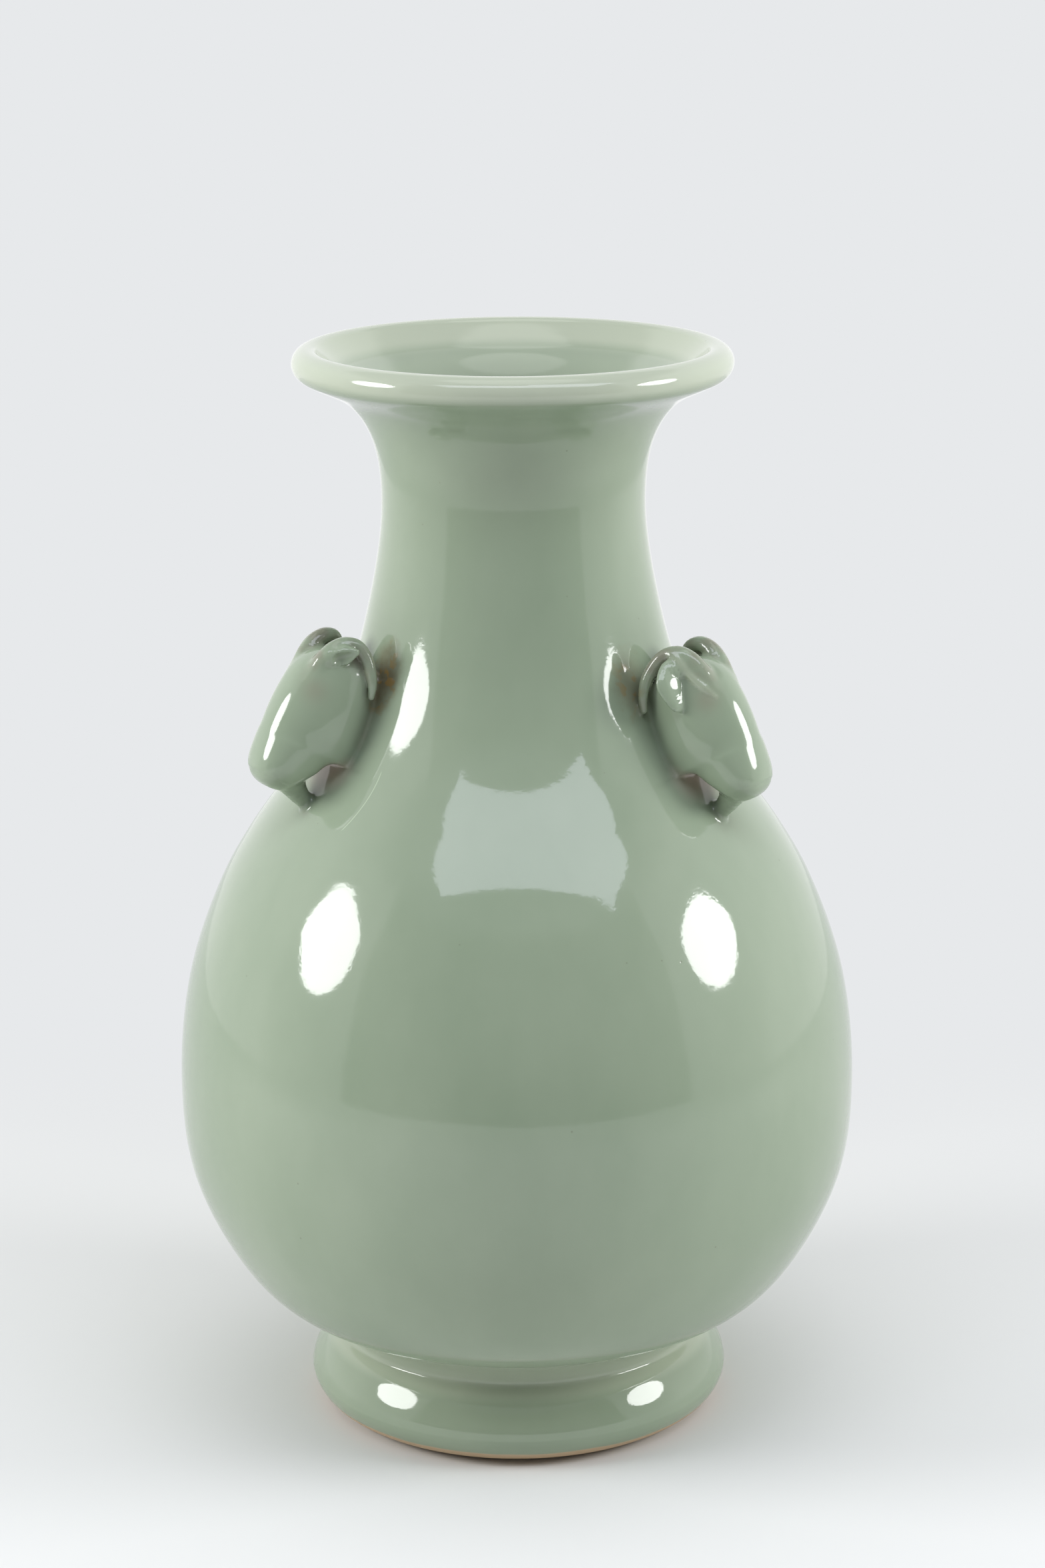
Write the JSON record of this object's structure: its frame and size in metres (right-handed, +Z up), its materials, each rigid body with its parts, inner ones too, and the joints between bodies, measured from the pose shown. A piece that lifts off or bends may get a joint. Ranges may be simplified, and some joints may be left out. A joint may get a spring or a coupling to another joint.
{
  "type": "celadon vase",
  "caption": "Tall pear-shaped glazed vase with a flared rolled lip, a thick foot ring and curl-horned ram's heads luted on its shoulder.",
  "frame": {"origin": "centre of the foot, on the surface the vase stands on", "axes": "+Z up along the vase's axis, -Y towards the side the picture was taken from"},
  "size_m": [0.188, 0.188, 0.3],
  "materials": {
    "celadon_glaze": "smooth glossy grey-green celadon glaze"
  },
  "bodies": {
    "root": {"foot_ring": "celadon_glaze", "lower_body": "celadon_glaze", "upper_body": "celadon_glaze", "neck": "celadon_glaze", "mouth": "celadon_glaze", "left_ram_head": "celadon_glaze", "left_ram_beard": "celadon_glaze", "left_ram_left_horn": "celadon_glaze", "left_ram_left_ear": "celadon_glaze", "left_ram_right_horn": "celadon_glaze", "left_ram_right_ear": "celadon_glaze", "right_ram_head": "celadon_glaze", "right_ram_beard": "celadon_glaze", "right_ram_left_horn": "celadon_glaze", "right_ram_left_ear": "celadon_glaze", "right_ram_right_horn": "celadon_glaze", "right_ram_right_ear": "celadon_glaze", "back_ram_head": "celadon_glaze", "back_ram_beard": "celadon_glaze", "back_ram_left_horn": "celadon_glaze", "back_ram_left_ear": "celadon_glaze", "back_ram_right_horn": "celadon_glaze", "back_ram_right_ear": "celadon_glaze"}
  },
  "joints": []
}
